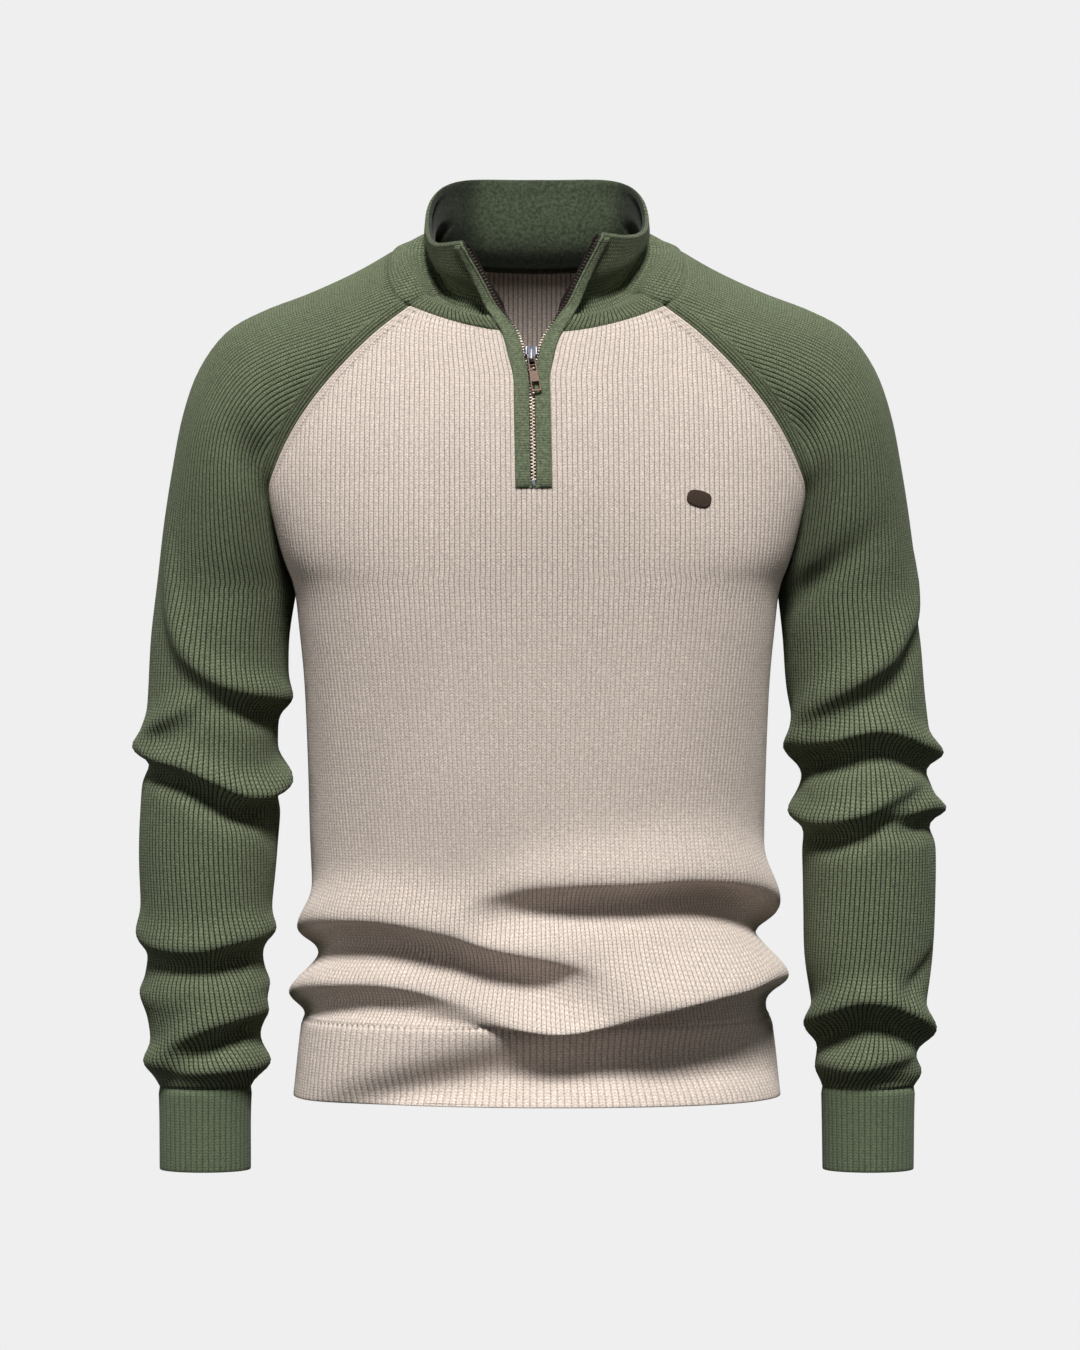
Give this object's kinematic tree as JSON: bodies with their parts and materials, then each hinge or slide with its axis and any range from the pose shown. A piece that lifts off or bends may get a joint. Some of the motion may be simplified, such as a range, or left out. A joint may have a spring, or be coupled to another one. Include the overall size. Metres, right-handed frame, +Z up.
{
  "type": "quarter zip sweater",
  "caption": "Raglan-sleeved knit pullover with a zipped stand collar, ribbed hem and ribbed cuffs, hollow as it is when worn, collar open at the throat.",
  "frame": {"origin": "middle of the neck at the height of the shoulders, where the wearer's shoulders carry the garment", "axes": "+Z up along the body, -Y out of the front, +X to the wearer's left"},
  "size_m": [0.6033, 0.2421, 0.7485],
  "materials": {
    "body_knit": "fuzzy ribbed knit, beige",
    "sleeve_knit": "ribbed knit, sage green",
    "placket_tape": "woven ribbon, sage green",
    "zip_tape": "woven tape, near black",
    "zip_teeth": "antique brass teeth",
    "zip_slider": "polished nickel",
    "zip_pull": "satin gunmetal bronze",
    "patch": "dark brown satin stitch"
  },
  "bodies": {
    "garment": {"front": "body_knit", "back": "body_knit", "hem_front": "body_knit", "hem_back": "body_knit", "sleeve_left": "sleeve_knit", "sleeve_right": "sleeve_knit", "cuff_left": "sleeve_knit", "cuff_right": "sleeve_knit", "collar": "sleeve_knit", "placket_left": "placket_tape", "placket_right": "placket_tape", "zip_tape_left": "zip_tape", "zip_tape_right": "zip_tape", "zip_teeth_left": "zip_teeth", "zip_teeth_right": "zip_teeth", "zip_slider": "zip_slider", "zip_stop": "zip_slider", "patch": "patch"},
    "pull_tab": {"zip_pull": "zip_pull"}
  },
  "joints": [
    {"name": "pull_tab_hinge", "type": "hinge", "parent": "garment", "child": "pull_tab", "pos_m": [-0.00412, -0.1028, -0.079], "axis": [-1, 0, 0], "range_deg": [0, 160]}
  ]
}
